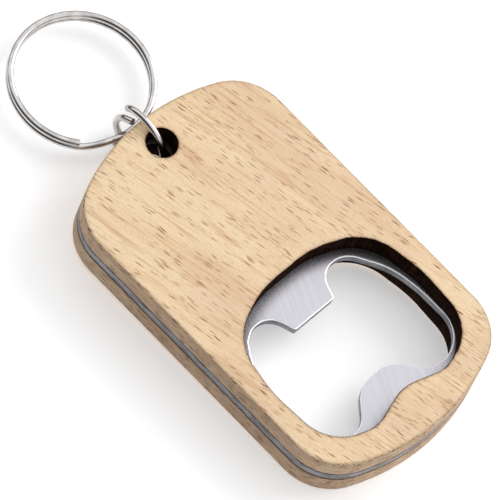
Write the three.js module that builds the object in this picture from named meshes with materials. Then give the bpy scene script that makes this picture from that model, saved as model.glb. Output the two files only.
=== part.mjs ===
// Keychain bottle opener: a stamped steel plate glued between two laser-cut wood panels, with a bent
// wire jump ring through the corner of the grip and a split key ring hanging on that jump ring.
//
// Millimetres. X is the width, Y the length with the ring end at +Y, Z the thickness. The back face is
// Z = 0, and the origin lies on it, on the solid grip between the ring hole and the cap opening.

import * as THREE from 'three';

// ---- Layers of the body, from the back ----
const WOOD_THICKNESS = 3.7;
const PLATE_THICKNESS = 1.5;
const FILM_THICKNESS = 0.1;
const FILM_INSET = 0.1; // the glue film stops short of the outer edge

// ---- Outline of the body ----
const BODY_LENGTH = 66.5;
const RING_END_Y = 20.25; // the end of the body with the ring hole
const CAP_OPENING_WIDTH = 33; // a 32 mm crown cap with clearance
const SIDE_WALL = 3.5; // wood left beside the cap opening
const END_RADIUS = 37.5; // gentle bow of both ends
const CORNER_RADIUS = 9.3;

// ---- Ring hole ----
const HOLE_DIAMETER = 5.1;
const HOLE_TO_END = 4.9; // hole centre to the ring end

// ---- Cap opening in the wood, heights above the opener end ----
const WOOD_OPENING_TOP = 33.6;
const WOOD_WELL_BOTTOM = 5.5;
const WOOD_BRIDGE = 7.8; // where the wood rises behind the lip

// ---- Cap opening in the steel plate, heights above the opener end ----
const PLATE_PROUD = 0.4; // steel showing inside the wood at each side
const TONGUE_WIDTH = 8.8; // the tooth that catches the cap
const TONGUE_TIP = 26;
const NOTCH_TOP = 30.5;
const NOTCH_WIDTH = 6.5;
const LIP_WIDTH = 7; // the rounded lip that bears on the cap
const LIP_TOP = 12.9;
const LIP_FLANK = 4.3;
const PLATE_WELL_BOTTOM = 7.6;

// ---- Jump ring ----
const LINK_WIRE = 1.2;
const LINK_TOP_GAP = 0.7; // wire above the front face
const LINK_BOTTOM_GAP = 0.15; // wire below the back face
const LINK_HOLE_GAP = 0.7; // wire to the far side of the hole
const LINK_BOW_RADIUS = 5.88; // over the front face
const LINK_TIP_RADIUS = 2.8; // the cut end that droops over the ring end
const LINK_TIP_ANGLE = THREE.MathUtils.degToRad(34);
const LINK_BOW_START = THREE.MathUtils.degToRad(75);
const LINK_HOOK_RADIUS = 2.65; // the curled end that holds the key ring
const LINK_HOOK_TURN = THREE.MathUtils.degToRad(150);
const LINK_HOOK_TAIL = 1.4;
const LINK_SPREAD = 1.1; // sideways gap between the two ends

// ---- Split key ring ----
const KEY_RING_DIAMETER = 24.1;
const KEY_WIRE_WIDTH = 1.2;
const KEY_WIRE_HEIGHT = 1.1;
const KEY_TURN_GAP = 0.05; // between the two turns
const KEY_RUNNING_GAP = 0.1; // key ring to jump ring
const KEY_WALL_GAP = 0.2; // key ring to the end of the body, at any tilt
const KEY_RING_YAW = THREE.MathUtils.degToRad(-5.5);
const KEY_RING_DROOP = THREE.MathUtils.degToRad(-1);
const KEY_END_ANGLE = THREE.MathUtils.degToRad(229); // end of the upper turn
const KEY_STEP_TURN = THREE.MathUtils.degToRad(28); // single strand between the two ends

// ---- Smoothness of the solids ----
const ARC_STEPS = 8; // points on each rounded corner
const WIRE_SIDES = 10; // points round each wire
const LINK_STEPS = 60;
const KEY_STEPS = 96;

// ---- Sizes that follow from the ones above ----
const THICKNESS = 2 * (WOOD_THICKNESS + FILM_THICKNESS) + PLATE_THICKNESS;
const BODY_WIDTH = CAP_OPENING_WIDTH + 2 * SIDE_WALL;
const OPENER_END_Y = RING_END_Y - BODY_LENGTH;
const HOLE_Y = RING_END_Y - HOLE_TO_END;
const KEY_STACK_HEIGHT = 2 * KEY_WIRE_HEIGHT + KEY_TURN_GAP;
const KEY_WIRE_REACH = Math.hypot(KEY_WIRE_WIDTH, KEY_STACK_HEIGHT) / 2;
const LINK_BOTTOM_Z = -(LINK_BOTTOM_GAP + LINK_WIRE / 2);
const THREAD_POINT = new THREE.Vector3(
  0.6 * LINK_SPREAD,
  RING_END_Y + KEY_WALL_GAP + KEY_WIRE_REACH,
  LINK_BOTTOM_Z + LINK_WIRE / 2 + KEY_RUNNING_GAP + KEY_WIRE_REACH,
);

const wood = new THREE.MeshStandardMaterial({ color: 0xe6cba2, roughness: 0.75, metalness: 0 });
const glue = new THREE.MeshStandardMaterial({ color: 0x3a2c22, roughness: 0.6, metalness: 0 });
const steel = new THREE.MeshStandardMaterial({ color: 0xc9c7cd, roughness: 0.35, metalness: 1 });
const nickel = new THREE.MeshStandardMaterial({ color: 0xd8d8da, roughness: 0.12, metalness: 1 });

// ---- Flat outlines ----

// The outer edge of the body: straight sides, bowed ends and a round corner tangent to both.
function bodyOutline(inset) {
  const cornerX = BODY_WIDTH / 2 - CORNER_RADIUS;
  const reach = Math.sqrt((END_RADIUS - CORNER_RADIUS) ** 2 - cornerX ** 2);
  const meet = Math.atan2(reach, cornerX);
  const cornerRadius = CORNER_RADIUS - inset;
  const endRadius = END_RADIUS - inset;
  const ringArcY = RING_END_Y - END_RADIUS;
  const openerArcY = OPENER_END_Y + END_RADIUS;
  const outline = new THREE.Shape();
  outline.absarc(cornerX, ringArcY + reach, cornerRadius, 0, meet);
  outline.absarc(0, ringArcY, endRadius, meet, Math.PI - meet);
  outline.absarc(-cornerX, ringArcY + reach, cornerRadius, Math.PI - meet, Math.PI);
  outline.absarc(-cornerX, openerArcY - reach, cornerRadius, Math.PI, Math.PI + meet);
  outline.absarc(0, openerArcY, endRadius, Math.PI + meet, 2 * Math.PI - meet);
  outline.absarc(cornerX, openerArcY - reach, cornerRadius, 2 * Math.PI - meet, 2 * Math.PI);
  return outline;
}

// Adds the arc that rounds the corner at `corner`, between the lines from `before` and to `after`.
function addRoundedCorner(path, before, corner, after) {
  const [x, y, radius] = corner;
  const toBefore = new THREE.Vector2(before[0] - x, before[1] - y).normalize();
  const toAfter = new THREE.Vector2(after[0] - x, after[1] - y).normalize();
  const halfAngle = Math.acos(toBefore.dot(toAfter)) / 2;
  const middle = toBefore.clone().add(toAfter).normalize();
  const centre = middle.multiplyScalar(radius / Math.sin(halfAngle)).add(new THREE.Vector2(x, y));
  const tangentLength = radius / Math.tan(halfAngle);
  const start = toBefore.clone().multiplyScalar(tangentLength).add(new THREE.Vector2(x, y)).sub(centre);
  const end = toAfter.clone().multiplyScalar(tangentLength).add(new THREE.Vector2(x, y)).sub(centre);
  const clockwise = toBefore.cross(toAfter) > 0;
  path.absarc(centre.x, centre.y, radius, start.angle(), end.angle(), clockwise);
}

// A closed outline, symmetric about X = 0, from the [x, height above the opener end, radius] corners
// of its right half, top to bottom. A corner on the axis comes last and isn't repeated.
function mirroredOutline(rightHalf) {
  const right = rightHalf.map(([x, height, radius]) => [x, OPENER_END_Y + height, radius]);
  const left = right.filter(([x]) => x > 0).map(([x, y, radius]) => [-x, y, radius]);
  const corners = [...right, ...left.reverse()];
  const path = new THREE.Path();
  corners.forEach((corner, i) => {
    const before = corners[(i + corners.length - 1) % corners.length];
    const after = corners[(i + 1) % corners.length];
    addRoundedCorner(path, before, corner, after);
  });
  path.closePath();
  return path;
}

function ringHole() {
  const hole = new THREE.Path();
  for (let quarter = 4; quarter > 0; quarter -= 1) {
    const start = (quarter * Math.PI) / 2;
    hole.absarc(0, HOLE_Y, HOLE_DIAMETER / 2, start, start - Math.PI / 2, true);
  }
  return hole;
}

function woodOpening() {
  const half = CAP_OPENING_WIDTH / 2;
  return mirroredOutline([
    [half - 11.1, WOOD_OPENING_TOP, 17],
    [half - 1.6, WOOD_OPENING_TOP - 3.6, 9],
    [half + 0.1, WOOD_OPENING_TOP - 13.8, 20],
    [half - 0.6, WOOD_WELL_BOTTOM + 2.5, 7.7],
    [half - 8.8, WOOD_WELL_BOTTOM, 6],
    [0, WOOD_BRIDGE, 8],
  ]);
}

function plateOpening() {
  const half = CAP_OPENING_WIDTH / 2 - PLATE_PROUD;
  const tongue = TONGUE_WIDTH / 2;
  const lip = LIP_WIDTH / 2;
  return mirroredOutline([
    [tongue, TONGUE_TIP, 0.6],
    [tongue + 1.6, NOTCH_TOP, 3.5],
    [tongue + NOTCH_WIDTH, NOTCH_TOP, 4.2],
    [half - 1, NOTCH_TOP - 6.6, 14],
    [half - 0.1, NOTCH_TOP - 12.1, 16],
    [half, PLATE_WELL_BOTTOM, 5.8],
    [lip + LIP_FLANK, PLATE_WELL_BOTTOM, 5],
    [lip, LIP_TOP, 6],
  ]);
}

// ---- Wire paths ----

// The jump ring in its own plane, as distances along Y and Z: from the cut end above the ring end,
// over the front face, down through the hole, under the back face and up into the curled end.
function jumpRingProfile() {
  const bowZ = THICKNESS + LINK_TOP_GAP + LINK_WIRE / 2 - LINK_BOW_RADIUS;
  const farY = HOLE_Y - HOLE_DIAMETER / 2 + LINK_HOLE_GAP + LINK_WIRE / 2;
  const bowY = farY + LINK_BOW_RADIUS;
  const tipOffset = LINK_BOW_RADIUS - LINK_TIP_RADIUS;
  const tipY = bowY + tipOffset * Math.cos(LINK_BOW_START);
  const tipZ = bowZ + tipOffset * Math.sin(LINK_BOW_START);
  const nearEdgeY = HOLE_Y + HOLE_DIAMETER / 2;
  const cornerRadius = nearEdgeY - farY - LINK_BOTTOM_Z - LINK_WIRE / 2; // clears the hole's back edge
  const hookZ = LINK_BOTTOM_Z + LINK_HOOK_RADIUS;
  const hookEnd = LINK_HOOK_TURN - Math.PI / 2;
  const tailY = LINK_HOOK_RADIUS * Math.cos(hookEnd) - LINK_HOOK_TAIL * Math.sin(hookEnd);
  const tailZ = LINK_HOOK_RADIUS * Math.sin(hookEnd) + LINK_HOOK_TAIL * Math.cos(hookEnd);
  const profile = new THREE.Path();
  profile.absarc(tipY, tipZ, LINK_TIP_RADIUS, LINK_TIP_ANGLE, LINK_BOW_START);
  profile.absarc(bowY, bowZ, LINK_BOW_RADIUS, LINK_BOW_START, Math.PI);
  profile.absarc(farY + cornerRadius, LINK_BOTTOM_Z + cornerRadius, cornerRadius, Math.PI, 1.5 * Math.PI);
  profile.absarc(THREAD_POINT.y, hookZ, LINK_HOOK_RADIUS, -Math.PI / 2, hookEnd);
  profile.lineTo(THREAD_POINT.y + tailY, hookZ + tailZ);
  return profile;
}

// The profile stood up in the YZ plane, with its two ends spread apart sideways.
class JumpRingPath extends THREE.Curve {
  constructor() {
    super();
    this.profile = jumpRingProfile();
  }

  getPoint(t) {
    const point = this.profile.getPoint(t);
    return new THREE.Vector3(LINK_SPREAD * t * t, point.x, point.y);
  }
}

// Two turns of wire, one on the other: the lower turn, a short step up, and the upper turn. The ring
// lies in the XY plane and passes through the origin, with its centre at +Y.
class SplitRingPath extends THREE.Curve {
  getPoint(t) {
    const turn = 2 * Math.PI - KEY_STEP_TURN;
    const along = t * (2 * turn + KEY_STEP_TURN);
    const angle = KEY_END_ANGLE + KEY_STEP_TURN + along;
    const rise = THREE.MathUtils.smoothstep(along, turn, turn + KEY_STEP_TURN) - 0.5;
    const radius = (KEY_RING_DIAMETER - KEY_WIRE_WIDTH) / 2;
    return new THREE.Vector3(
      radius * Math.cos(angle),
      radius * (1 + Math.sin(angle)),
      rise * (KEY_WIRE_HEIGHT + KEY_TURN_GAP),
    );
  }
}

// ---- Sub-parts ----

// One flat layer of the body, with its cap opening and the ring hole cut through it.
function layer(name, material, bottom, depth, outline, opening) {
  outline.holes.push(opening, ringHole());
  const geometry = new THREE.ExtrudeGeometry(outline, {
    depth,
    bevelEnabled: false,
    curveSegments: ARC_STEPS / 2,
  });
  const mesh = new THREE.Mesh(geometry, material);
  mesh.name = name;
  mesh.position.z = bottom;
  return mesh;
}

function wire(name, width, height, path, steps) {
  const section = new THREE.Shape();
  section.absellipse(0, 0, height / 2, width / 2, 0, 2 * Math.PI);
  const geometry = new THREE.ExtrudeGeometry(section, {
    steps,
    extrudePath: path,
    curveSegments: WIRE_SIDES / 2,
  });
  const mesh = new THREE.Mesh(geometry, nickel);
  mesh.name = name;
  return mesh;
}

function glueFilm(name, bottom) {
  return layer(name, glue, bottom, FILM_THICKNESS, bodyOutline(FILM_INSET), woodOpening());
}

function woodPanel(name, bottom) {
  return layer(name, wood, bottom, WOOD_THICKNESS, bodyOutline(0), woodOpening());
}

function body() {
  const plateZ = WOOD_THICKNESS + FILM_THICKNESS;
  const frontFilmZ = plateZ + PLATE_THICKNESS;
  const group = new THREE.Group();
  group.add(woodPanel('back_wood_panel', 0));
  group.add(glueFilm('back_glue_film', WOOD_THICKNESS));
  group.add(layer('opener_plate', steel, plateZ, PLATE_THICKNESS, bodyOutline(0), plateOpening()));
  group.add(glueFilm('front_glue_film', frontFilmZ));
  group.add(woodPanel('front_wood_panel', frontFilmZ + FILM_THICKNESS));
  return group;
}

function keyRing() {
  const ring = wire('key_ring', KEY_WIRE_WIDTH, KEY_WIRE_HEIGHT, new SplitRingPath(), KEY_STEPS);
  ring.rotation.x = KEY_RING_DROOP;
  const turned = new THREE.Group();
  turned.add(ring);
  turned.rotation.z = KEY_RING_YAW;
  turned.position.copy(THREAD_POINT);
  return turned;
}

const group = new THREE.Group();
group.add(body());
group.add(wire('jump_ring', LINK_WIRE, LINK_WIRE, new JumpRingPath(), LINK_STEPS));
group.add(keyRing());

export default group;
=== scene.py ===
# Keychain bottle opener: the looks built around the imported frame. Shapes are worked out in millimetres
# in the row frame (X width, +Y ring end, +Z front face) and turned into metres when a mesh is made.

import math

import bpy
import numpy as np
from mathutils import Matrix, Vector, noise
from mathutils.geometry import delaunay_2d_cdt


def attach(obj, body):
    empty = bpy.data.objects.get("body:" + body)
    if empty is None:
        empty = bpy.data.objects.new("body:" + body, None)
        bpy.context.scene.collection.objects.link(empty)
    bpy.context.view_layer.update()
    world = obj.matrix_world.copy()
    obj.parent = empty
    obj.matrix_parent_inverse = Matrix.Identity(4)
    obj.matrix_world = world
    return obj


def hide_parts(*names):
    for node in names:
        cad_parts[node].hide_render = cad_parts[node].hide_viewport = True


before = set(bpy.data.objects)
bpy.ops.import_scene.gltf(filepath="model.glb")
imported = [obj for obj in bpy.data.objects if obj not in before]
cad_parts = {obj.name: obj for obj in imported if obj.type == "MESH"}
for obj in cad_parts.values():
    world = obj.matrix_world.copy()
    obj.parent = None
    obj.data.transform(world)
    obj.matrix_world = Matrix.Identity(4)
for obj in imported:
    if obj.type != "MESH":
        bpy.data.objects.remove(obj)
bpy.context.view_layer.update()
MM = 0.001

# ---- Sizes of the part, in millimetres ----
WOOD_THICKNESS = 3.7
FILM_THICKNESS = 0.1
PLATE_THICKNESS = 1.5
PLATE_Z = WOOD_THICKNESS + FILM_THICKNESS
FRONT_FILM_Z = PLATE_Z + PLATE_THICKNESS
FRONT_WOOD_Z = FRONT_FILM_Z + FILM_THICKNESS
THICKNESS = FRONT_WOOD_Z + WOOD_THICKNESS
JOINT_HALF = THICKNESS / 2 - WOOD_THICKNESS
BODY_LENGTH = 66.5
BODY_WIDTH = 40.0
RING_END_Y = 20.25
OPENER_END_Y = RING_END_Y - BODY_LENGTH
END_RADIUS = 37.5
CORNER_RADIUS = 9.3
HOLE_RADIUS = 2.55
HOLE_FROM_RING_END = 4.9
HOLE_Y = RING_END_Y - HOLE_FROM_RING_END
OPENING_HALF = 16.5
OPENING_TOP = 33.6  # above the opener end
PLATE_HALF = OPENING_HALF - 0.4

LINK_WIRE = 1.2
LINK_BOTTOM_Z = -0.75
LINK_TOP_GAP = 0.7
LINK_HOLE_GAP = 0.7
LINK_BOW_RADIUS = 5.88
LINK_BOW_START = math.radians(75)
LINK_TIP_RADIUS = 2.8
LINK_TIP_ANGLE = math.radians(34)
LINK_HOOK_RADIUS = 2.65
LINK_HOOK_END = math.radians(60)
LINK_HOOK_TAIL = 1.4
LINK_SPREAD = 1.1

KEY_RING_DIAMETER = 24.1
KEY_WIRE_WIDTH = 1.2
KEY_WIRE_HEIGHT = 1.1
KEY_TURN_GAP = 0.05
KEY_END_ANGLE = math.radians(229)
KEY_STEP_TURN = math.radians(28)
KEY_YAW = math.radians(-5.5)
KEY_DROOP = math.radians(-1)
THREAD_POINT = (0.66, 21.725, 1.225)
WIRE_FIT = 0.98  # the round wires are drawn at this share of their nominal thickness
LINK_SECTION, KEY_SECTION = 2.0, 2.1  # powers of the sections' ovals; 2 is a circle

# ---- How finely shapes are cut: steps in millimetres, and counts ----
OUTLINE_STEP = 0.3
HOLE_STEP = 0.2
WIRE_STEP = 0.12
WIRE_ARC_STEP = 0.1
KEY_RING_ROWS = 900
WIRE_SIDES = 32
SMOOTH_ROUNDS = 3
TOLERANCE = 1e-6

# ---- Wear of the rims: lengths in millimetres, and shares ----
RIPPLE_RATE, CHIP_RATE, WEAR_RATE = 0.9, 0.55, 1.7  # noise steps per mm
CHIP_SHIFT = 31  # moves the chips' noise away from the ripple's
RIPPLE_SHARE = 0.6
CHIP_START, CHIP_GAIN = 0.36, 2.2
LOW_SEED, HIGH_SEED = 3, 11
INNER_CHIPS = 0.12  # share of the chip depth that the cut-outs get
RIM_ROUNDNESS = 0.3  # where a dressed rim bends, as a share of its depth
RIM_TO_MARGIN = 0.12
MARGIN_BURN = 0.25
OUTER_BURN = 0.75
THIN_LAYER = 0.5  # layers thinner than this have no scorched margin
WIRE_END_BEVEL = 0.16  # how much thinner a wire is at its cut end
WIRE_END_STEP = 0.02
WIRE_END_ROWS = 3  # path points that each dressed end takes the place of


# ---- Flat outlines ----


def arc(cx, cy, radius, start, end, step=OUTLINE_STEP):
    """Points along an arc, `step` mm apart, with both ends."""
    count = max(6, math.ceil(abs(end - start) * radius / step))
    angles = np.linspace(start, end, count + 1)
    return np.c_[cx + radius * np.cos(angles), cy + radius * np.sin(angles)]


def closed(parts, step=OUTLINE_STEP):
    """One closed loop from arcs, joined by straight runs cut into steps, without repeated points."""
    points = []
    loop = np.vstack(parts)
    for a, b in zip(loop, np.roll(loop, -1, 0)):
        length = np.linalg.norm(b - a)
        if length < TOLERANCE:
            continue
        cuts = max(1, round(length / step))
        points += [a + (b - a) * k / cuts for k in range(cuts)]
    return np.array(points)


def body_outline():
    """Two wide arcs across the ends, four rounded corners and straight sides."""
    corner_x = BODY_WIDTH / 2 - CORNER_RADIUS
    reach = math.sqrt((END_RADIUS - CORNER_RADIUS) ** 2 - corner_x**2)
    meet = math.atan2(reach, corner_x)
    ring_y, opener_y = RING_END_Y - END_RADIUS, OPENER_END_Y + END_RADIUS
    pi = math.pi
    return closed(
        [
            arc(corner_x, ring_y + reach, CORNER_RADIUS, 0, meet),
            arc(0, ring_y, END_RADIUS, meet, pi - meet),
            arc(-corner_x, ring_y + reach, CORNER_RADIUS, pi - meet, pi),
            arc(-corner_x, opener_y - reach, CORNER_RADIUS, pi, pi + meet),
            arc(0, opener_y, END_RADIUS, pi + meet, 2 * pi - meet),
            arc(corner_x, opener_y - reach, CORNER_RADIUS, 2 * pi - meet, 2 * pi),
        ]
    )


def rounded_corner(before, corner, after):
    """The arc that rounds one corner of an outline."""
    x, y, radius = corner
    point = np.array((x, y))
    to_before = np.array(before[:2]) - point
    to_after = np.array(after[:2]) - point
    to_before /= np.linalg.norm(to_before)
    to_after /= np.linalg.norm(to_after)
    half = math.acos(np.clip(to_before @ to_after, -1, 1)) / 2
    middle = to_before + to_after
    centre = point + middle / np.linalg.norm(middle) * radius / math.sin(half)
    start = point + to_before * radius / math.tan(half) - centre
    end = point + to_after * radius / math.tan(half) - centre
    a, b = math.atan2(start[1], start[0]), math.atan2(end[1], end[0])
    turn = (b - a + math.pi) % (2 * math.pi) - math.pi
    return arc(*centre, radius, a, a + turn)


def mirrored_outline(right_half):
    """A loop symmetric about X = 0, from the corners of its right half. Each corner is (x, height above
    the opener end, radius)."""
    right = [(x, OPENER_END_Y + height, radius) for x, height, radius in right_half]
    left = [(-x, y, radius) for x, y, radius in right if x > 0]
    corners = right + left[::-1]
    count = len(corners)
    rounded = [
        rounded_corner(corners[i - 1], corners[i], corners[(i + 1) % count]) for i in range(count)
    ]
    return closed(rounded)


def wood_opening():
    h = OPENING_HALF
    return mirrored_outline(
        [
            (h - 11.1, OPENING_TOP, 17),
            (h - 1.6, 30.0, 9),
            (h + 0.1, 19.8, 20),
            (h - 0.6, 8.0, 7.7),
            (h - 8.8, 5.5, 6),
            (0, 7.8, 8),
        ]
    )


def plate_opening():
    h = PLATE_HALF
    return mirrored_outline(
        [
            (4.4, 26, 0.6),
            (6.0, 30.5, 3.5),
            (10.9, 30.5, 4.2),
            (h - 1, 23.9, 14),
            (h - 0.1, 18.4, 16),
            (h, 7.6, 5.8),
            (7.8, 7.6, 5),
            (3.5, 12.9, 6),
        ]
    )


def ring_hole():
    return closed([arc(0, HOLE_Y, HOLE_RADIUS, 0, -2 * math.pi, HOLE_STEP)])


def outward(loop):
    """Unit normals that point out of the material: out of an anticlockwise loop, into a clockwise one."""
    tangent = np.roll(loop, -1, 0) - np.roll(loop, 1, 0)
    tangent /= np.linalg.norm(tangent, axis=1)[:, None]
    return np.c_[tangent[:, 1], -tangent[:, 0]]


# ---- Meshes ----


def make_object(name, vertices, faces, materials, body, node, smooth_angle=35):
    """A mesh object in metres that stands for one CAD node. Each face is (corner indices, material
    index)."""
    mesh = bpy.data.meshes.new(name)
    mesh.from_pydata([tuple(c * MM for c in v) for v in vertices], [], [f for f, _ in faces])
    for material in materials:
        mesh.materials.append(material)
    mesh.polygons.foreach_set("material_index", [m for _, m in faces])
    mesh.validate()
    mesh.shade_smooth()
    mesh.set_sharp_from_angle(angle=math.radians(smooth_angle))
    obj = bpy.data.objects.new(name, mesh)
    bpy.context.scene.collection.objects.link(obj)
    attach(obj, body)
    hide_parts(node)
    return obj


def chip_depth(loop, z, seed, base, chip):
    """How far the rim is worn back at each point of a loop: a fine ripple, and a few deeper chips."""
    depth = []
    for x, y in loop:
        ripple = noise.noise(Vector((x * RIPPLE_RATE, y * RIPPLE_RATE, z + seed)))
        spot = noise.noise(Vector((x * CHIP_RATE + CHIP_SHIFT, y * CHIP_RATE, z + 2 * seed)))
        depth.append(base * (1 + RIPPLE_SHARE * ripple) + chip * max(0.0, spot - CHIP_START) * CHIP_GAIN)
    return np.array(depth)


def slab(name, loops, z0, z1, materials, body, node, rims, margins, recess=0.0, ragged=0.0):
    """A flat layer with worn rims. `loops` holds (points, wall material); the first is the outer edge.
    `rims` is ((base, chip) of the lower rim, (base, chip) of the upper rim), `margins` are how far in
    from the edge the scorching fades and ends, and `recess` and `ragged` hold the edge back."""
    vertices, faces, scorch = [], [], []
    low_caps, high_caps = [], []
    span = z1 - z0

    def ring(points, z, burn):
        first = len(vertices)
        zs = z if hasattr(z, "__len__") else [z] * len(points)
        vertices.extend((p[0], p[1], q) for p, q in zip(points, zs))
        scorch.extend([burn] * len(points))
        return list(range(first, first + len(points)))

    for number, (loop, wall_material) in enumerate(loops):
        runs_outside = number == 0
        if (signed_area(loop) > 0) != runs_outside:
            loop = loop[::-1]
        normal = outward(loop)
        noise_there = [noise.noise(Vector((x * WEAR_RATE, y * WEAR_RATE, z0))) for x, y in loop]
        wear = ragged * (0.5 + 0.5 * np.array(noise_there))
        edge = loop - normal * (recess + wear)[:, None]
        chips = 1.0 if runs_outside else INNER_CHIPS
        low = chip_depth(loop, z0, LOW_SEED + number, rims[0][0], rims[0][1] * chips)
        high = chip_depth(loop, z1, HIGH_SEED + number, rims[1][0], rims[1][1] * chips)
        burn = OUTER_BURN if runs_outside else 1.0
        margin_burn = MARGIN_BURN * burn

        def inset(depth):
            return edge - normal * (depth[:, None] if hasattr(depth, "__len__") else depth)

        stack = [
            ring(inset(margins[1]), z0, 0.0),
            ring(inset(np.maximum(margins[0], low + RIM_TO_MARGIN)), z0, margin_burn),
            ring(inset(low), z0, burn),
            ring(inset(low * RIM_ROUNDNESS), z0 + low * RIM_ROUNDNESS, burn),
            ring(edge, z0 + low, burn),
            ring(edge, z0 + low + (span - low - high) / 2, burn),
            ring(edge, z1 - high, burn),
            ring(inset(high * RIM_ROUNDNESS), z1 - high * RIM_ROUNDNESS, burn),
            ring(inset(high), z1, burn),
            ring(inset(np.maximum(margins[0], high + RIM_TO_MARGIN)), z1, margin_burn),
            ring(inset(margins[1]), z1, 0.0),
        ]
        if span < THIN_LAYER:
            stack = [stack[0], *stack[2:9], stack[10]]
        for lower, upper in zip(stack, stack[1:]):
            flat = vertices[lower[0]][2] == vertices[upper[0]][2]
            count = len(lower)
            for i in range(count):
                j = (i + 1) % count
                quad = (lower[i], lower[j], upper[j], upper[i])
                faces.append((quad, 0 if flat else wall_material))
        low_caps.append(stack[0])
        high_caps.append(stack[-1])
    faces += [(f, 0) for f in fill(vertices, low_caps, True)]
    faces += [(f, 0) for f in fill(vertices, high_caps, False)]
    used = sorted({i for f, _ in faces for i in f})
    index = {old: new for new, old in enumerate(used)}
    kept = [vertices[i] for i in used]
    faces = [(tuple(index[i] for i in f), m) for f, m in faces]
    obj = make_object(name, kept, faces, materials, body, node)
    layer = obj.data.attributes.new("scorch", "FLOAT", "POINT")
    layer.data.foreach_set("value", [scorch[i] for i in used])


def signed_area(loop):
    x, y = loop[:, 0], loop[:, 1]
    return 0.5 * float(np.sum(x * np.roll(y, -1) - y * np.roll(x, -1)))


def fill(vertices, rings, facing_down):
    """Triangles across the flat area inside the first ring and outside the others."""
    order = [i for r in rings for i in r]
    flat = [Vector(vertices[i][:2]) for i in order]
    edges, start = [], 0
    for r in rings:
        edges += [(start + k, start + (k + 1) % len(r)) for k in range(len(r))]
        start += len(r)
    _, _, made, original, _, _ = delaunay_2d_cdt(flat, edges, [], 0, TOLERANCE)
    edge, *holes = [np.array([vertices[i][:2] for i in r]) for r in rings]
    source = [o[0] for o in original]
    triangles = []
    for f in made:
        corners = [order[source[k]] for k in f]
        middle = np.mean([vertices[i][:2] for i in corners], 0)
        if not inside(middle, edge) or any(inside(middle, hole) for hole in holes):
            continue
        triangles.append(tuple(corners[::-1]) if facing_down else tuple(corners))
    return triangles


def inside(point, loop):
    """Whether a point lies in a loop, by how many of the loop's runs it has to its right."""
    x, y = loop[:, 0], loop[:, 1]
    x2, y2 = np.roll(x, -1), np.roll(y, -1)
    crosses = (y > point[1]) != (y2 > point[1])
    with np.errstate(divide="ignore", invalid="ignore"):
        at = (x2 - x) * (point[1] - y) / (y2 - y) + x
    return bool(np.sum(crosses & (point[0] < at)) % 2)


def wire(name, path, side, up, half_side, half_up, power, body, node):
    """A wire of rounded section along a path, with cut and slightly dressed ends."""
    angle = np.linspace(0, 2 * math.pi, WIRE_SIDES, endpoint=False)
    section = np.c_[np.cos(angle), np.sin(angle)]
    section = np.sign(section) * np.abs(section) ** (2 / power)
    start_run, end_run = path[1] - path[0], path[-1] - path[-2]
    dressed = RIM_ROUNDNESS * WIRE_END_BEVEL
    start = path[0] + start_run * WIRE_END_STEP
    start = start + start_run / np.linalg.norm(start_run) * dressed * half_up
    end = path[-1] - end_run * WIRE_END_STEP
    end = end - end_run / np.linalg.norm(end_run) * dressed * half_up
    keep = slice(WIRE_END_ROWS, -WIRE_END_ROWS)
    rows = [
        (path[0], side[0], up[0], 1 - WIRE_END_BEVEL),
        (start, side[0], up[0], 1 - dressed),
        *[(p, s, u, 1.0) for p, s, u in zip(path[keep], side[keep], up[keep])],
        (end, side[-1], up[-1], 1 - dressed),
        (path[-1], side[-1], up[-1], 1 - WIRE_END_BEVEL),
    ]
    vertices, faces = [], []
    for p, s, u, size in rows:
        for a, b in section:
            vertices.append(tuple(p + s * a * half_side * size + u * b * half_up * size))
    last = (len(rows) - 1) * WIRE_SIDES
    for row in range(0, last, WIRE_SIDES):
        for i in range(WIRE_SIDES):
            j = (i + 1) % WIRE_SIDES
            above = row + WIRE_SIDES
            faces.append(((row + i, row + j, above + j, above + i), 0))
    faces.append((tuple(range(WIRE_SIDES - 1, -1, -1)), 1))
    faces.append((tuple(range(last, last + WIRE_SIDES)), 1))
    make_object(name, vertices, faces, [nickel, cut_metal], body, node, smooth_angle=50)


def resample(points, step):
    """The same path with its points `step` mm apart."""
    gap = np.r_[0, np.cumsum(np.linalg.norm(np.diff(points, axis=0), axis=1))]
    count = max(8, round(gap[-1] / step))
    at = np.linspace(0, gap[-1], count + 1)
    return np.stack([np.interp(at, gap, points[:, k]) for k in range(points.shape[1])], 1)


def smooth(points):
    points = points.copy()
    for _ in range(SMOOTH_ROUNDS):
        points[1:-1] = (points[:-2] + 2 * points[1:-1] + points[2:]) / 4
    return points


def unit_rows(a):
    return a / np.linalg.norm(a, axis=1)[:, None]


def square_to(rows, tangent):
    """The part of each row that is square to the tangent, at unit length."""
    return unit_rows(rows - tangent * np.sum(rows * tangent, 1)[:, None])


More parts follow.
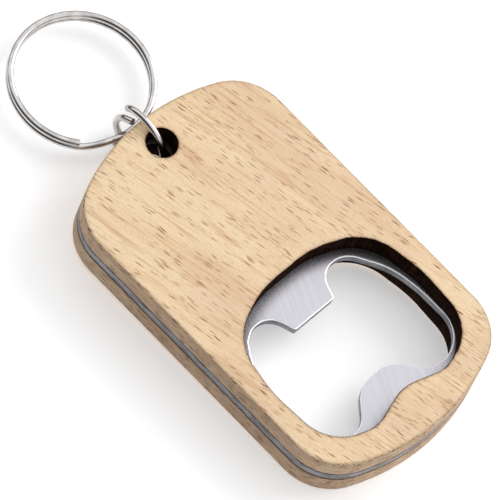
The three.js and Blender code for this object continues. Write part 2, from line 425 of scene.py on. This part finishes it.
def jump_ring_path():
    """Tip, bow over the front edge, drop through the hole, run under the back and curled end. The link
    lies in the plane X = 0 at its tip and leans aside towards its curl."""
    bow_z = THICKNESS + LINK_TOP_GAP + LINK_WIRE / 2 - LINK_BOW_RADIUS
    far_y = HOLE_Y - HOLE_RADIUS + LINK_HOLE_GAP + LINK_WIRE / 2
    bow_y = far_y + LINK_BOW_RADIUS
    offset = LINK_BOW_RADIUS - LINK_TIP_RADIUS
    tip_y = bow_y + offset * math.cos(LINK_BOW_START)
    tip_z = bow_z + offset * math.sin(LINK_BOW_START)
    corner = HOLE_Y + HOLE_RADIUS - far_y - LINK_BOTTOM_Z - LINK_WIRE / 2
    corner_y, corner_z = far_y + corner, LINK_BOTTOM_Z + corner
    hook_y, hook_z = THREAD_POINT[1], LINK_BOTTOM_Z + LINK_HOOK_RADIUS
    pi = math.pi
    arcs = [
        arc(tip_y, tip_z, LINK_TIP_RADIUS, LINK_TIP_ANGLE, LINK_BOW_START, WIRE_ARC_STEP),
        arc(bow_y, bow_z, LINK_BOW_RADIUS, LINK_BOW_START, pi, WIRE_ARC_STEP),
        arc(corner_y, corner_z, corner, pi, 1.5 * pi, WIRE_ARC_STEP),
        arc(hook_y, hook_z, LINK_HOOK_RADIUS, -pi / 2, LINK_HOOK_END, WIRE_ARC_STEP),
    ]
    tail = np.array((-math.sin(LINK_HOOK_END), math.cos(LINK_HOOK_END)))
    end = arcs[-1][-1] + LINK_HOOK_TAIL * tail
    flat = resample(np.vstack([*arcs, [end]]), WIRE_STEP)
    t = np.linspace(0, 1, len(flat))
    return smooth(np.c_[LINK_SPREAD * t * t, flat])


def key_ring_path():
    """Two turns with the step between them, lying flat with the point that rests in the link at the
    origin, and the directions away from the ring's centre."""
    turn = 2 * math.pi - KEY_STEP_TURN
    along = np.linspace(0, 2 * turn + KEY_STEP_TURN, KEY_RING_ROWS)
    angle = KEY_END_ANGLE + KEY_STEP_TURN + along
    t = np.clip((along - turn) / KEY_STEP_TURN, 0, 1)
    rise = t * t * (3 - 2 * t) - 0.5
    radius = (KEY_RING_DIAMETER - KEY_WIRE_WIDTH) / 2
    radial = np.c_[np.cos(angle), np.sin(angle), np.zeros_like(angle)]
    points = radius * (radial + (0, 1, 0))
    points[:, 2] = rise * (KEY_WIRE_HEIGHT + KEY_TURN_GAP)
    return points, radial


# ---- Materials ----


class Nodes:
    """Short calls for building one node material."""

    def __init__(self, name):
        self.material = bpy.data.materials.new(name)
        self.material.use_nodes = True
        self.tree = self.material.node_tree
        self.shader = self.tree.nodes["Principled BSDF"]

    def add(self, kind, inputs=None, **settings):
        node = self.tree.nodes.new(kind)
        for key, value in settings.items():
            setattr(node, key, value)
        for key, value in (inputs or {}).items():
            self.put(node.inputs[key], value)
        return node

    def put(self, socket, value):
        if isinstance(value, bpy.types.NodeSocket):
            self.tree.links.new(value, socket)
        else:
            socket.default_value = value

    def math(self, operation, a, b=0.0):
        return self.add("ShaderNodeMath", {0: a, 1: b}, operation=operation).outputs[0]

    def times(self, a, b):
        return self.math("MULTIPLY", a, b)

    def mix(self, factor, a, b):
        """Colour `a`, with `b` over it as far as `factor` says."""
        node = self.add("ShaderNodeMix", data_type="RGBA", clamp_factor=True)
        self.put(node.inputs[0], factor)
        self.put(node.inputs[6], a)
        self.put(node.inputs[7], b)
        return node.outputs[2]

    def stain(self, colour, mask, strength, stain):
        """`colour` with `stain` over it where `mask` is high, at most by `strength`."""
        return self.mix(self.times(mask, strength), colour, stain)

    def span(self, value, low, high, out_low=0.0, out_high=1.0, smooth_step=True):
        """`value` mapped from low..high to out_low..out_high, and held there."""
        node = self.add(
            "ShaderNodeMapRange",
            {0: value, 1: low, 2: high, 3: out_low, 4: out_high},
            interpolation_type="SMOOTHSTEP" if smooth_step else "LINEAR",
        )
        return node.outputs[0]

    def place(self, turn=0.0, stretch=(1, 1, 1)):
        """Object coordinates in millimetres, turned about Z, then divided by `stretch`."""
        coordinates = self.add("ShaderNodeTexCoord").outputs["Object"]
        in_mm = (1 / MM, 1 / MM, 1 / MM)
        turned = self.add("ShaderNodeMapping", {0: coordinates, 2: (0, 0, turn), 3: in_mm})
        scale = tuple(1 / s for s in stretch)
        return self.add("ShaderNodeMapping", {0: turned.outputs[0], 3: scale}).outputs[0]

    def position(self, axis):
        """One object coordinate in millimetres."""
        return self.add("ShaderNodeSeparateXYZ", {0: self.place()}).outputs[axis]

    def noise(self, turn, stretch, detail=3.0, rough=0.5, distort=0.0):
        """Noise whose features are about `stretch` mm, along axes turned about Z by `turn`."""
        node = self.add(
            "ShaderNodeTexNoise",
            {
                "Vector": self.place(turn, stretch),
                "Scale": 1.0,
                "Detail": detail,
                "Roughness": rough,
                "Distortion": distort,
            },
        )
        return node.outputs[0]

    def bump(self, height, distance, strength=1.0):
        """A bumped normal, with `distance` in millimetres."""
        inputs = {"Strength": strength, "Distance": distance * MM, "Height": height}
        return self.add("ShaderNodeBump", inputs).outputs[0]

    def finish(self, colour, roughness, normal=None, metal=0.0, specular=0.5):
        self.put(self.shader.inputs["Base Color"], colour)
        self.put(self.shader.inputs["Roughness"], roughness)
        self.shader.inputs["Metallic"].default_value = metal
        self.shader.inputs["Specular IOR Level"].default_value = specular
        if normal is not None:
            self.put(self.shader.inputs["Normal"], normal)
        return self.material


GRAIN_TURN = math.radians(78.5)  # turns the grain's direction onto local X
BRUSH_TURN = math.radians(-63)  # turns the brushed lines' direction onto local X
WALL_SHADE_TOP_Y = OPENER_END_Y + OPENING_TOP
WALL_SHADE_CENTRE_Y = OPENER_END_Y + 18  # painted shade and reflection of the wood wall lie on the plate along the ring-end half of the opening
WALL_SHADE_SHAPE = 2.5  # power of the oval that the painted wall shade follows


def rgb(r, g, b):
    """A linear colour from sRGB 0-255 values."""

    def linear(c):
        c /= 255
        return c / 12.92 if c < 0.0404 else ((c + 0.055) / 1.055) ** 2.4

    return linear(r), linear(g), linear(b), 1.0


WOOD_PALE, WOOD_WARM = rgb(249, 225, 188), rgb(241, 211, 171)
WOOD_PINK, WOOD_FIBRE, WOOD_SHADE = rgb(226, 192, 162), rgb(216, 180, 142), rgb(204, 156, 116)
WOOD_LINE, WOOD_GRIT = rgb(190, 134, 84), rgb(206, 170, 134)
PORE_HALO, PORE_BROWN = rgb(204, 142, 86), rgb(142, 80, 36)
SCORCH_BROWN = rgb(120, 80, 48)
SIDE_GREY, SIDE_STREAK, SIDE_FLECK = rgb(168, 138, 114), rgb(112, 84, 66), rgb(58, 32, 22)
SEAM_DARK, NICK_DARK = rgb(58, 40, 32), rgb(74, 46, 30)
CHAR_BLACK, CHAR_BROWN, CHAR_STROKE, CHAR_PORE = (
    rgb(17, 8, 4), rgb(50, 26, 16), rgb(84, 52, 36), rgb(12, 8, 6),
)
GLUE_DARK, GLUE_LIGHT = rgb(34, 27, 22), rgb(82, 66, 54)
STEEL_LIGHT, STEEL_GREY, STEEL_SPOT = rgb(204, 202, 208), rgb(188, 186, 193), rgb(150, 148, 156)
EDGE_LIGHT, EDGE_GREY, EDGE_PAINTED_HIGHLIGHT = rgb(150, 150, 155), rgb(106, 107, 113), rgb(246, 246, 249)
JOINT_DARK, PLATE_WALL_SHADE = rgb(62, 50, 44), rgb(58, 48, 42)
SOOTY_DARK, SOOTY_LIGHT = rgb(24, 18, 15), rgb(58, 50, 46)
NICKEL_LIGHT, NICKEL_GREY = rgb(214, 211, 209), rgb(192, 189, 188)
CUT_LIGHT, CUT_GREY = rgb(196, 192, 190), rgb(150, 146, 146)


def pores(n, stretch, keep, warp, size=0.5, core=0.4):
    """Open pores along the grain: 1 inside a pore, 0 outside. `keep` is the share of cells that hold one,
    `size` a pore's reach within its cell, and `core` the share of it that is fully dark."""
    where = n.place(GRAIN_TURN, stretch)
    bent = n.add("ShaderNodeVectorMath", {0: where, 1: warp}, operation="ADD").outputs[0]
    cell = n.add("ShaderNodeTexVoronoi", {"Vector": bent, "Scale": 1.0, "Randomness": 1.0})
    lot = n.add("ShaderNodeSeparateColor", {0: cell.outputs["Color"]}).outputs
    reach = n.span(lot[2], 0.0, 1.0, 0.5 * size, size, smooth_step=False)
    spot = n.span(cell.outputs["Distance"], n.times(reach, core), reach, 1.0, 0.0)
    present = n.math("LESS_THAN", lot[0], keep)
    strength = n.span(lot[1], 0.0, 1.0, 0.4, 1.0, smooth_step=False)
    return n.times(n.times(spot, present), strength)


def grain_warp(n):
    """A sideways shift that makes the rows of pores wander."""
    wander = n.math("SUBTRACT", n.noise(GRAIN_TURN, (22, 9, 9), 2.0), 0.5)
    jitter = n.math("SUBTRACT", n.noise(GRAIN_TURN, (2.2, 0.9, 0.9), 1.0), 0.5)
    shift = n.math("ADD", n.times(wander, 6.0), n.times(jitter, 1.2))
    return n.add("ShaderNodeCombineXYZ", {0: 0.0, 1: shift, 2: 0.0}).outputs[0]


def bare_wood(n):
    """The wood without what cutting did to it: colour, height, pores, grit, pore density and warp."""
    warp = grain_warp(n)
    bands = n.noise(GRAIN_TURN, (40, 3.2, 3.2), 3.0, 0.55, 0.6)
    patches = n.noise(GRAIN_TURN, (26, 10, 10), 2.0, 0.5, 0.4)
    fibres = n.noise(GRAIN_TURN, (5.0, 0.16, 0.16), 3.0, 0.6)
    shade = n.noise(GRAIN_TURN, (9, 1.1, 1.1), 2.0, 0.5, 0.8)
    lines = n.noise(GRAIN_TURN, (18, 0.34, 0.34), 3.0, 0.6, 0.3)
    grit = n.noise(0, (0.3, 0.3, 0.3), 3.0, 0.7)
    density = n.noise(GRAIN_TURN, (13, 4, 4), 3.0, 0.55)
    long_pores = pores(n, (3.4, 0.4, 0.36), n.span(density, 0.36, 0.6, 0.14, 0.5), warp)
    fine_pores = pores(n, (2.2, 0.26, 0.24), n.span(density, 0.35, 0.6, 0.16, 0.5), warp)
    halo = pores(n, (3.4, 0.5, 0.5), n.span(density, 0.38, 0.62, 0.1, 0.4), warp, core=0.0)
    pore = n.math("MAXIMUM", long_pores, n.times(fine_pores, 0.75))

    colour = n.mix(n.span(bands, 0.3, 0.7), WOOD_PALE, WOOD_WARM)
    colour = n.stain(colour, n.span(patches, 0.46, 0.68), 0.45, WOOD_PINK)
    colour = n.stain(colour, n.span(fibres, 0.35, 0.75), 0.3, WOOD_FIBRE)
    colour = n.stain(colour, n.span(shade, 0.54, 0.7), 0.4, WOOD_SHADE)
    colour = n.stain(colour, n.span(lines, 0.56, 0.7), 0.5, WOOD_LINE)
    colour = n.stain(colour, n.span(grit, 0.4, 0.7), 0.3, WOOD_GRIT)
    colour = n.stain(colour, halo, 0.55, PORE_HALO)
    colour = n.mix(pore, colour, PORE_BROWN)

    fine = n.math("ADD", n.times(fibres, 0.35), n.times(grit, 0.2))
    height = n.math("ADD", n.times(pore, -0.4), fine)
    return colour, height, pore, grit, density, warp


def sanded_wood():
    """The two wide faces, scorched a little along every edge."""
    n = Nodes("sanded_wood")
    colour, height, _, grit, _, _ = bare_wood(n)
    scorch = n.add("ShaderNodeAttribute", attribute_name="scorch").outputs["Fac"]
    patchy = n.span(n.noise(0, (0.5, 0.5, 0.5), 2.0), 0.3, 0.65, 0.5, 1.0)
    burn = n.times(n.math("POWER", scorch, 1.6), patchy)
    colour = n.stain(colour, burn, 0.8, SCORCH_BROWN)
    rough = n.span(grit, 0.3, 0.7, 0.58, 0.72)
    return n.finish(colour, rough, n.bump(height, 0.09, 0.8), 0.0, 0.35)


def from_mid_height(n):
    """How far a point is above or below the middle of the sandwich."""
    return n.math("ABSOLUTE", n.math("SUBTRACT", n.position("Z"), THICKNESS / 2))


def wood_side_wall():
    """The outer wall: greyed, with dark flecks, a darker band along the seam at the plate and nicks at
    the faces.
    """
    n = Nodes("cut_wood_side")
    colour, height, _, _, density, warp = bare_wood(n)
    along = n.noise(0, (3.5, 9, 0.22), 3.0, 0.6)
    grey = n.span(n.noise(0, (2.0, 4.0, 1.4), 3.0, 0.6), 0.3, 0.75, 0.55, 0.95)
    colour = n.stain(colour, grey, 0.8, SIDE_GREY)
    colour = n.stain(colour, n.span(along, 0.52, 0.75), 0.5, SIDE_STREAK)
    fleck_share = n.span(density, 0.35, 0.6, 0.25, 0.6)
    flecks = pores(n, (2.6, 0.6, 0.3), fleck_share, warp, size=0.55)
    colour = n.stain(colour, flecks, 0.95, SIDE_FLECK)
    from_middle = from_mid_height(n)
    ragged = n.times(n.noise(0, (0.9, 0.9, 0.9), 3.0, 0.6), 0.45)
    seam = n.math("SUBTRACT", n.math("SUBTRACT", from_middle, JOINT_HALF), ragged)
    colour = n.stain(colour, n.span(seam, -0.12, 0.12, 1.0, 0.0), 0.8, SEAM_DARK)
    nicks = n.span(n.noise(0, (0.7, 1.6, 0.5), 3.0, 0.6), 0.54, 0.64)
    near_face = n.span(from_middle, THICKNESS / 2 - 0.9, THICKNESS / 2 - 0.1)
    colour = n.stain(colour, n.times(nicks, near_face), 0.75, NICK_DARK)
    height = n.math("ADD", height, n.times(along, 0.5))
    return n.finish(colour, 0.75, n.bump(height, 0.12, 0.8), 0.0, 0.35)


def burnt_wood_wall():
    """The laser-cut walls of the opening and the hole: char with upright strokes."""
    n = Nodes("burnt_wood_wall")
    _, height, pore, _, _, _ = bare_wood(n)
    strokes = n.noise(0, (0.28, 0.28, 4.5), 3.0, 0.6)
    char = n.noise(0, (1.6, 1.6, 1.2), 3.0, 0.6)
    colour = n.mix(n.span(char, 0.35, 0.75), CHAR_BLACK, CHAR_BROWN)
    colour = n.stain(colour, n.span(strokes, 0.45, 0.75), 0.45, CHAR_STROKE)
    colour = n.stain(colour, pore, 0.7, CHAR_PORE)
    height = n.math("ADD", height, n.times(strokes, 0.8))
    return n.finish(colour, 0.9, n.bump(height, 0.1, 0.8), 0.0, 0.05)


def glue_material():
    n = Nodes("glue_line")
    blobs = n.noise(0, (0.6, 0.6, 0.3), 3.0, 0.6)
    colour = n.mix(n.span(blobs, 0.35, 0.7), GLUE_DARK, GLUE_LIGHT)
    return n.finish(colour, n.span(blobs, 0.3, 0.7, 0.4, 0.7), n.bump(blobs, 0.05), 0.0, 0.4)


def brushed_plate():
    """The plate's flat faces: fine brushed lines, a few stains, and painted shade and reflection of the
    wood wall beside the wood.
    """
    n = Nodes("brushed_plate")
    lines = n.noise(BRUSH_TURN, (14, 0.09, 0.5), 4.0, 0.65)
    wide = n.noise(BRUSH_TURN, (20, 0.9, 1), 2.0)
    spots = n.noise(0, (0.5, 0.5, 0.5), 2.0, 0.6)
    colour = n.mix(n.span(lines, 0.3, 0.7), STEEL_LIGHT, STEEL_GREY)
    colour = n.stain(colour, n.span(spots, 0.68, 0.78), 0.25, STEEL_SPOT)
    x, y = n.position("X"), n.position("Y")
    aside = n.math("POWER", n.math("DIVIDE", n.math("ABSOLUTE", x), OPENING_HALF), WALL_SHADE_SHAPE)
    above = n.math("MAXIMUM", n.math("SUBTRACT", y, WALL_SHADE_CENTRE_Y), 0.0)
    above = n.math("POWER", n.math("DIVIDE", above, WALL_SHADE_TOP_Y - WALL_SHADE_CENTRE_Y), WALL_SHADE_SHAPE)
    nearness = n.math("POWER", n.math("ADD", aside, above), 1 / WALL_SHADE_SHAPE)
    speckle = n.span(n.noise(0, (0.28, 0.28, 0.28), 3.0, 0.7), 0.3, 0.7, 0.55, 1.0)
    # painted shade and reflection: the steel is darkened beside the opening's wood wall, speckled like
    # the charred wall it mirrors
    painted_wall_shade = n.times(n.span(nearness, 0.83, 1.0), speckle)
    painted_wall_shade = n.times(painted_wall_shade, n.span(y, WALL_SHADE_CENTRE_Y + 2, WALL_SHADE_CENTRE_Y + 12))
    colour = n.stain(colour, painted_wall_shade, 0.85, PLATE_WALL_SHADE)
    rough = n.span(lines, 0.25, 0.75, 0.3, 0.42)
    rough = n.math("ADD", rough, n.span(wide, 0.3, 0.7, -0.01, 0.015))
    return n.finish(colour, rough, n.bump(lines, 0.012, 0.5), 1.0)


def plate_edge(name, glued):
    """The plate's sheared edge. In the opening it has a painted highlight along its upper rim, and on the
    outside it is darker towards both joints."""
    n = Nodes(name)
    shear = n.noise(0, (0.12, 0.12, 1.8), 3.0, 0.6)
    cloud = n.noise(0, (3, 3, 1), 3.0, 0.6)
    colour = n.mix(n.span(cloud, 0.35, 0.7), EDGE_LIGHT, EDGE_GREY)
    if glued:
        # the outer edge is darker towards both joints, with a ragged boundary
        ragged = n.times(n.noise(0, (1.2, 1.2, 0.8), 3.0, 0.6), 0.5)
        reach = n.math("ADD", from_mid_height(n), ragged)
        near_joints = n.span(reach, JOINT_HALF - 0.1, JOINT_HALF + 0.15)
        colour = n.stain(colour, near_joints, 0.85, JOINT_DARK)
    else:
        # painted highlight: a bright band along the top of the sheared edge in the opening
        rim_highlight = n.span(n.position("Z"), FRONT_FILM_Z - 0.16, FRONT_FILM_Z - 0.06)
        colour = n.mix(rim_highlight, colour, EDGE_PAINTED_HIGHLIGHT)
    rough = n.span(shear, 0.3, 0.7, 0.34, 0.5)
    return n.finish(colour, rough, n.bump(shear, 0.02, 0.5), 1.0)


def sooty_plate_edge():
    """The plate's edge in the ring hole, black from the cutting of the wood around it."""
    n = Nodes("sooty_steel")
    film = n.noise(0, (0.5, 0.5, 0.3), 3.0, 0.6)
    colour = n.mix(n.span(film, 0.35, 0.7), SOOTY_DARK, SOOTY_LIGHT)
    return n.finish(colour, n.span(film, 0.3, 0.7, 0.5, 0.8), n.bump(film, 0.03), 0.3, 0.2)


def polished_nickel():
    n = Nodes("polished_nickel")
    fine = n.noise(0, (0.25, 0.25, 0.25), 3.0, 0.6)
    wave = n.noise(0, (1.6, 1.6, 1.6), 2.0)
    colour = n.mix(n.span(wave, 0.35, 0.7), NICKEL_LIGHT, NICKEL_GREY)
    height = n.math("ADD", wave, n.times(fine, 0.05))
    return n.finish(colour, n.span(fine, 0.3, 0.75, 0.1, 0.17), n.bump(height, 0.02, 0.2), 1.0)


def cut_wire_end():
    n = Nodes("cut_wire_end")
    fine = n.noise(0, (0.25, 0.25, 0.25), 3.0, 0.6)
    colour = n.mix(n.span(fine, 0.3, 0.7), CUT_LIGHT, CUT_GREY)
    return n.finish(colour, n.span(fine, 0.3, 0.7, 0.3, 0.45), n.bump(fine, 0.03, 0.6), 1.0)


nickel, cut_metal = polished_nickel(), cut_wire_end()

# ---- The pieces ----

OUTSIDE_RIM, JOINT_RIM = (0.11, 0.3), (0.03, 0.03)  # wear all along, depth of chips
FILM_RIM, PLATE_BACK_RIM, PLATE_FRONT_RIM = (0.02, 0), (0.08, 0), (0.14, 0)
WOOD_MARGINS, FILM_MARGINS, PLATE_MARGINS = (0.5, 1.05), (0.3, 0.6), (0.3, 0.5)
FILM_RECESS, FILM_RAGGED, PLATE_RECESS = 0.1, 0.25, 0.03
wood = [sanded_wood(), wood_side_wall(), burnt_wood_wall()]
outer, opening, hole = body_outline(), wood_opening(), ring_hole()
for name, node, z, rims in (
    ("back_wood", "back_wood_panel", 0, (OUTSIDE_RIM, JOINT_RIM)),
    ("front_wood", "front_wood_panel", FRONT_WOOD_Z, (JOINT_RIM, OUTSIDE_RIM)),
):
    slab(
        name, [(outer, 1), (opening, 2), (hole, 2)], z, z + WOOD_THICKNESS, wood,
        "opener_body", node, rims, WOOD_MARGINS,
    )

glue = glue_material()
for name, node, z in (
    ("back_glue_line", "back_glue_film", WOOD_THICKNESS),
    ("front_glue_line", "front_glue_film", FRONT_FILM_Z),
):
    slab(
        name, [(outer, 0), (opening, 0), (hole, 0)], z, z + FILM_THICKNESS, [glue],
        "opener_body", node, (FILM_RIM, FILM_RIM), FILM_MARGINS,
        FILM_RECESS, FILM_RAGGED,
    )

steel = [
    brushed_plate(),
    plate_edge("sheared_plate_edge", glued=False),
    sooty_plate_edge(),
    plate_edge("glued_plate_edge", glued=True),
]
slab(
    "steel_plate", [(outer, 3), (plate_opening(), 1), (hole, 2)], PLATE_Z, FRONT_FILM_Z, steel,
    "opener_body", "opener_plate", (PLATE_BACK_RIM, PLATE_FRONT_RIM), PLATE_MARGINS,
    PLATE_RECESS,
)

link = jump_ring_path()
tangent = unit_rows(np.gradient(link, axis=0))
sideways = square_to(np.tile(np.array((1.0, 0, 0)), (len(link), 1)), tangent)
link_radius = LINK_WIRE / 2 * WIRE_FIT
wire(
    "jump_ring_wire", link, sideways, np.cross(tangent, sideways), link_radius, link_radius,
    LINK_SECTION, "jump_ring", "jump_ring",
)

points, radial = key_ring_path()
tilt = Matrix.Rotation(KEY_YAW, 3, "Z") @ Matrix.Rotation(KEY_DROOP, 3, "X")
tilt = np.array(tilt)
points = points @ tilt.T + np.array(THREAD_POINT)
tangent = unit_rows(np.gradient(points, axis=0))
radial = square_to(radial @ tilt.T, tangent)
wire(
    "split_ring_wire", points, radial, np.cross(tangent, radial), KEY_WIRE_WIDTH / 2 * WIRE_FIT,
    KEY_WIRE_HEIGHT / 2 * WIRE_FIT, KEY_SECTION, "key_ring", "key_ring",
)

# ---- Floor, light and camera ----

FLOOR_GLOW = 0.36  # a lit table, as used for plain white product pictures
LEAN_HEIGHT, LEAN_LENGTH = 1.345, 66  # the jump ring props the body up, so far from the other end
FLOOR_TILT = math.atan(LEAN_HEIGHT / LEAN_LENGTH)
FLOOR_HALF = 3.0  # metres
FLOOR_GAP = 0.02  # millimetres under the opener
FLOOR_DARK, FLOOR_LIGHT = (0.8, 0.8, 0.805, 1), (0.83, 0.83, 0.835, 1)
DOME_FADE = (0.15, 0.5, 0.04, 1.1)  # height from, height to, light from, light to
DARK_SIDE = (-0.92, 0.1, 0.38)
DARK_FADE = (0.45, 0.8, 1.0, 0.08)  # closeness from, closeness to, light from, light to
SOFTBOX_PLACE, SOFTBOX_TARGET = (0.8, -0.25, 0.5), (0, -0.005, 0.005)
SOFTBOX_SIZE, SOFTBOX_POWER = 0.7, 5.5


def stage_floor():
    n = Nodes("pale_floor")
    colour = n.mix(n.noise(0, (4, 4, 4), 2.0), FLOOR_DARK, FLOOR_LIGHT)
    n.finish(colour, 0.55, None, 0.0, 0.3)
    n.shader.inputs["Emission Color"].default_value = (1, 1, 1, 1)
    n.shader.inputs["Emission Strength"].default_value = FLOOR_GLOW
    mesh = bpy.data.meshes.new("floor")
    corners = [(x * FLOOR_HALF, y * FLOOR_HALF, 0) for x, y in ((-1, -1), (1, -1), (1, 1), (-1, 1))]
    mesh.from_pydata(corners, [], [(0, 1, 2, 3)])
    mesh.materials.append(n.material)
    floor = bpy.data.objects.new("floor", mesh)
    bpy.context.scene.collection.objects.link(floor)
    floor.rotation_euler = (-FLOOR_TILT, 0, 0)
    floor.location = (0, OPENER_END_Y * MM, -FLOOR_GAP * MM)


def softbox():
    """A square soft light on the right, half a metre above the table."""
    light = bpy.data.lights.new("softbox_right", "AREA")
    light.shape = "SQUARE"
    light.size = SOFTBOX_SIZE
    light.energy = SOFTBOX_POWER
    lamp = bpy.data.objects.new("softbox_right", light)
    bpy.context.scene.collection.objects.link(lamp)
    lamp.location = SOFTBOX_PLACE
    aim = Vector(SOFTBOX_TARGET) - Vector(SOFTBOX_PLACE)
    lamp.rotation_euler = aim.to_track_quat("-Z", "Y").to_euler()


def studio_world():
    """A soft dome of light. It is dim near the horizon and towards the dark side of the room, and there
    the polished wires find their dark streaks."""
    world = bpy.data.worlds.new("studio")
    bpy.context.scene.world = world
    world.use_nodes = True
    tree = world.node_tree
    direction = tree.nodes.new("ShaderNodeTexCoord").outputs["Generated"]

    def fade(axis, low, high, out_low, out_high):
        """Light by how close a direction is to an axis."""
        dot = tree.nodes.new("ShaderNodeVectorMath")
        dot.operation = "DOT_PRODUCT"
        tree.links.new(direction, dot.inputs[0])
        dot.inputs[1].default_value = Vector(axis).normalized()
        ramp = tree.nodes.new("ShaderNodeMapRange")
        ramp.interpolation_type = "SMOOTHSTEP"
        tree.links.new(dot.outputs["Value"], ramp.inputs[0])
        for socket, number in zip(ramp.inputs[1:5], (low, high, out_low, out_high)):
            socket.default_value = number
        return ramp.outputs[0]

    product = tree.nodes.new("ShaderNodeMath")
    product.operation = "MULTIPLY"
    tree.links.new(fade((0, 0, 1), *DOME_FADE), product.inputs[0])
    tree.links.new(fade(DARK_SIDE, *DARK_FADE), product.inputs[1])
    shade = tree.nodes["Background"]
    shade.inputs[0].default_value = (1, 1, 1, 1)
    tree.links.new(product.outputs[0], shade.inputs[1])


stage_floor()
softbox()
studio_world()

CAMERA_AIM = Vector((-2.187, -6.655, 9.1)) * MM
VIEW_AZIMUTH, VIEW_ELEVATION, VIEW_ROLL = -67.74, 61.277, -25.668  # degrees
CAMERA_DISTANCE = 1253.4 * MM
CAMERA_LENS = 583.2

camera_data = bpy.data.cameras.new("camera")
camera_data.lens = CAMERA_LENS
camera_data.sensor_width = 36
camera_data.clip_end = 10
camera = bpy.data.objects.new("camera", camera_data)
bpy.context.scene.collection.objects.link(camera)
azimuth, elevation = math.radians(VIEW_AZIMUTH), math.radians(VIEW_ELEVATION)
level = math.cos(elevation)
back = Vector((math.sin(azimuth) * level, -math.cos(azimuth) * level, math.sin(elevation)))
camera.location = CAMERA_AIM + back * CAMERA_DISTANCE
facing = (-back).to_track_quat("-Z", "Y")
roll = Matrix.Rotation(math.radians(-VIEW_ROLL), 3, "Z").to_quaternion()
camera.rotation_mode = "QUATERNION"
camera.rotation_quaternion = facing @ roll
bpy.context.scene.camera = camera

bpy.context.scene.view_settings.view_transform = "Standard"
bpy.context.scene.view_settings.look = "None"
